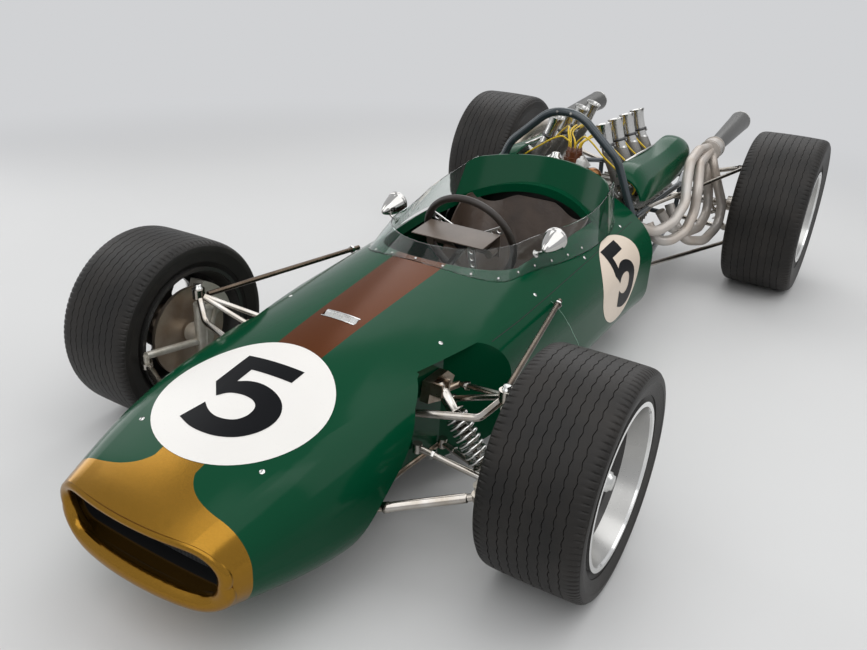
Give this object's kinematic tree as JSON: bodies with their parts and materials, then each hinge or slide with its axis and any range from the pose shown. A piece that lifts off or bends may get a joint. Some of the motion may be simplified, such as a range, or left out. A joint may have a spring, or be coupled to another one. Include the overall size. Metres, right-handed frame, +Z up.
{
  "type": "open wheel racing car",
  "caption": "Single-seat open wheel racing car with a slim moulded body, exposed vee engine, swept exhaust pipes, outboard suspension and steered front wheels.",
  "frame": {"origin": "on the floor under the middle of the car, midway between the nose tip and the tailpipe ends", "axes": "+Z up, the nose faces -Y, +X is the car's left"},
  "size_m": [1.716, 3.6161, 0.8547],
  "materials": {
    "body_green": "deep green gloss paint on moulded glassfibre",
    "nose_green": "deep green gloss paint with a gold nose and stripe",
    "clear_screen": "clear moulded acrylic",
    "leather": "dark trim",
    "panel_alloy": "satin sheet",
    "frame_tube": "grey-blue painted steel tube",
    "bright_steel": "bright plated steel",
    "cast_alloy": "as-cast magnesium and aluminium",
    "polished_alloy": "polished",
    "exhaust_paint": "matt heat-proof pale grey",
    "disc_steel": "ground brake disc",
    "tyre": "racing tread rubber",
    "wheel_alloy": "satin cast and spun",
    "core_black": "dark core",
    "distributor_brown": "moulded cap"
  },
  "bodies": {
    "chassis": {"upper_moulding": "nose_green", "belly_pan": "panel_alloy", "side_panel_left": "body_green", "side_panel_right": "body_green", "headrest_hood": "body_green", "seat": "leather", "instrument_panel": "panel_alloy", "steering_column": "bright_steel", "windscreen": "clear_screen", "mirrors": "bright_steel", "roll_hoop": "frame_tube", "space_frame": "frame_tube", "radiator": "core_black", "engine_block": "cast_alloy", "cylinder_heads": "cast_alloy", "inlet_trumpets": "polished_alloy", "distributor": "distributor_brown", "gearbox": "cast_alloy", "exhaust_left": "exhaust_paint", "exhaust_right": "exhaust_paint", "engine_cowl_left": "body_green", "engine_cowl_right": "body_green", "front_arms_left": "bright_steel", "front_arms_right": "bright_steel", "front_coilovers": "bright_steel", "radius_rods": "bright_steel", "rear_uprights": "cast_alloy", "rear_links": "bright_steel", "rear_coilovers": "bright_steel", "driveshafts": "bright_steel", "notch_strips": "panel_alloy", "front_brackets": "frame_tube"},
    "steering_wheel": {"steering_wheel": "leather"},
    "rack": {"steering_rack": "bright_steel"},
    "knuckle_left": {"knuckle_left": "cast_alloy"},
    "knuckle_right": {"knuckle_right": "cast_alloy"},
    "track_rod_left": {"track_rod_left": "bright_steel"},
    "track_rod_right": {"track_rod_right": "bright_steel"},
    "wheel_front_left": {"tyre_front_left": "tyre", "rim_front_left": "wheel_alloy", "brake_disc_front_left": "disc_steel"},
    "wheel_front_right": {"tyre_front_right": "tyre", "rim_front_right": "wheel_alloy", "brake_disc_front_right": "disc_steel"},
    "wheel_rear_left": {"tyre_rear_left": "tyre", "rim_rear_left": "wheel_alloy", "brake_disc_rear_left": "disc_steel"},
    "wheel_rear_right": {"tyre_rear_right": "tyre", "rim_rear_right": "wheel_alloy", "brake_disc_rear_right": "disc_steel"}
  },
  "joints": [
    {"name": "left_steer", "type": "hinge", "parent": "chassis", "child": "knuckle_left", "pos_m": [0.54, -1.054, 0.16], "axis": [-0.138, -0.1207, 0.9831], "range_deg": [-18, 18]},
    {"name": "right_steer", "type": "hinge", "parent": "chassis", "child": "knuckle_right", "pos_m": [-0.54, -1.054, 0.16], "axis": [0.138, -0.1207, 0.9831], "range_deg": [-18, 18]},
    {"name": "left_rod_pivot", "type": "hinge", "parent": "knuckle_left", "child": "track_rod_left", "pos_m": [0.535, -1.269, 0.28], "axis": [-0.138, -0.1207, 0.9831], "range_deg": [-18, 18]},
    {"name": "right_rod_pivot", "type": "hinge", "parent": "knuckle_right", "child": "track_rod_right", "pos_m": [-0.535, -1.269, 0.28], "axis": [0.138, -0.1207, 0.9831], "range_deg": [-18, 18]},
    {"name": "rack_slide", "type": "slide", "parent": "chassis", "child": "rack", "axis": [1, 0, 0], "range_m": [-0.0605, 0.0605]},
    {"name": "steering_wheel_turn", "type": "hinge", "parent": "chassis", "child": "steering_wheel", "pos_m": [0, -0.364, 0.524], "axis": [0, 0.939, 0.3438], "range_deg": [-90, 90]},
    {"name": "front_left_roll", "type": "hinge", "parent": "knuckle_left", "child": "wheel_front_left", "pos_m": [0.68, -1.054, 0.288], "axis": [1, 0, 0], "continuous": true},
    {"name": "front_right_roll", "type": "hinge", "parent": "knuckle_right", "child": "wheel_front_right", "pos_m": [-0.68, -1.054, 0.288], "axis": [1, 0, 0], "continuous": true},
    {"name": "rear_left_roll", "type": "hinge", "parent": "chassis", "child": "wheel_rear_left", "pos_m": [0.705, 1.333, 0.35], "axis": [1, 0, 0], "continuous": true},
    {"name": "rear_right_roll", "type": "hinge", "parent": "chassis", "child": "wheel_rear_right", "pos_m": [-0.705, 1.333, 0.35], "axis": [1, 0, 0], "continuous": true}
  ],
  "couplings": [
    {"joint": "right_steer", "follows": "left_steer", "ratio": 1},
    {"joint": "left_rod_pivot", "follows": "left_steer", "ratio": -1},
    {"joint": "right_rod_pivot", "follows": "left_steer", "ratio": -1},
    {"joint": "rack_slide", "follows": "left_steer", "m_per_rad": 0.192},
    {"joint": "steering_wheel_turn", "follows": "left_steer", "ratio": 5}
  ]
}
